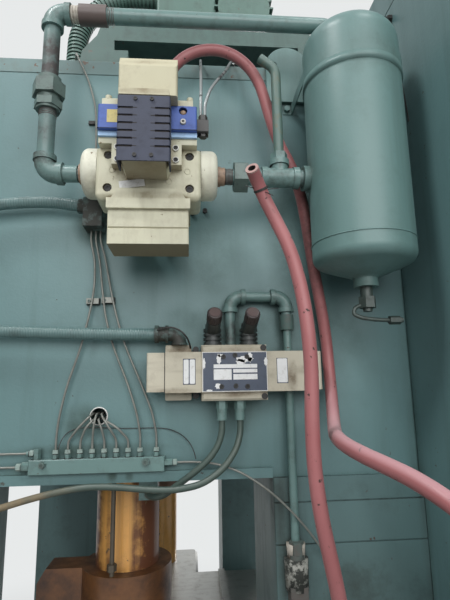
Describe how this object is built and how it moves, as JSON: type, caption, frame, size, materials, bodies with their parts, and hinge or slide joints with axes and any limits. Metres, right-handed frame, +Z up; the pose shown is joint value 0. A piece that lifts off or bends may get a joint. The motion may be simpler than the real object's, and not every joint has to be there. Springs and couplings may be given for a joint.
{
  "type": "high-speed stamping press",
  "caption": "High-speed stamping press: four uprights, guided slide, crown with flywheel drive, and a pneumatic valve station with hoses on its end wall.",
  "frame": {"origin": "on the floor, under the centre of the press frame", "axes": "X across the end wall, Y along the press from the end with the valve station to the flywheel end, Z up"},
  "size_m": [1.305, 2.6316, 3.561],
  "materials": {
    "green_frame": "worn machine enamel",
    "green_equipment": "worn machine enamel over fittings",
    "pale_green": "older enamel",
    "machined_steel": "ground",
    "dark_steel": "oily",
    "orange_guard": "oily enamel",
    "bronze": "machined",
    "brown_steel": "oxidised",
    "cream_casting": "grimy enamel on a casting",
    "black_sheet": "satin",
    "blue_block": "gloss",
    "blue_band": "satin",
    "junction_cream": "worn enamel",
    "black_plastic": "moulded",
    "brown_plastic": "moulded",
    "white_plastic": "moulded",
    "red_rubber": "matt",
    "green_rubber": "painted",
    "conduit_skin": "painted over",
    "pale_tube": "dull",
    "belt_rubber": "matt"
  },
  "bodies": {
    "frame": {"air_duct": "pale_green", "air_tank": "green_equipment", "bed": "green_frame", "bolster": "machined_steel", "branch_pipe": "pale_green", "clamp_strips": "cream_casting", "conduit_fittings": "green_equipment", "conduits": "conduit_skin", "crown": "green_frame", "crown_lid": "green_frame", "directional_valve": "cream_casting", "drain_valve": "green_equipment", "drive_belt": "belt_rubber", "flow_controls": "green_equipment", "green_hoses": "green_rubber", "guide_bushes": "bronze", "hex_unions": "brown_steel", "hose_fittings": "green_equipment", "junction_box": "junction_cream", "levelling_feet": "dark_steel", "lube_fittings": "pale_tube", "lube_manifold": "green_equipment", "lube_stand": "pale_green", "lube_tubes": "pale_tube", "lube_unit": "pale_green", "main_motor": "green_equipment", "pilot_band": "blue_band", "pilot_head": "cream_casting", "pilot_manifold": "blue_block", "pipe_couplings": "brown_steel", "pipe_elbows": "green_equipment", "pipe_tee": "green_equipment", "red_hose_cut": "red_rubber", "red_hose_supply": "red_rubber", "sensor_cables": "black_plastic", "sensor_connector": "black_plastic", "side_plate": "green_frame", "slotted_cover": "black_sheet", "socket_screws": "dark_steel", "solenoids": "cream_casting", "steel_pipes": "green_equipment", "stop_rod": "dark_steel", "tank_bracket": "green_equipment", "tank_strap": "green_equipment", "terminal_box": "cream_casting", "upright_far_left": "green_frame", "upright_far_right": "green_frame", "upright_near_left": "green_frame", "upright_near_right": "green_frame", "valve_blocks": "cream_casting", "valve_body": "cream_casting", "valve_end_caps": "cream_casting"},
    "slide_unit": {"slide": "machined_steel", "guide_posts": "orange_guard", "post_collars": "orange_guard"},
    "flywheel_body": {"flywheel": "green_equipment"},
    "pulley_body": {"motor_pulley": "machined_steel"},
    "button_body": {"override_button": "white_plastic"},
    "knob_left_body": {"flow_knob_left": "brown_plastic"},
    "knob_right_body": {"flow_knob_right": "brown_plastic"}
  },
  "joints": [
    {"name": "slide_stroke", "type": "slide", "parent": "frame", "child": "slide_unit", "axis": [0, 0, 1], "range_m": [0, 0.04]},
    {"name": "flywheel_spin", "type": "hinge", "parent": "frame", "child": "flywheel_body", "pos_m": [0, 1.11, 2.63], "axis": [0, 1, 0], "continuous": true},
    {"name": "pulley_spin", "type": "hinge", "parent": "frame", "child": "pulley_body", "pos_m": [0, 1.11, 3.391], "axis": [0, 1, 0], "continuous": true},
    {"name": "button_press", "type": "slide", "parent": "frame", "child": "button_body", "axis": [0, 1, 0], "range_m": [0, 0.003], "stiffness_N_per_m": 300},
    {"name": "knob_left_turn", "type": "hinge", "parent": "frame", "child": "knob_left_body", "pos_m": [0.196, -0.996, 2.502], "axis": [0.04, -0.8706, 0.4903], "continuous": true},
    {"name": "knob_right_turn", "type": "hinge", "parent": "frame", "child": "knob_right_body", "pos_m": [0.272, -0.996, 2.502], "axis": [0.04, -0.8706, 0.4903], "continuous": true}
  ],
  "couplings": [
    {"joint": "pulley_spin", "follows": "flywheel_spin", "ratio": 4.0755}
  ]
}
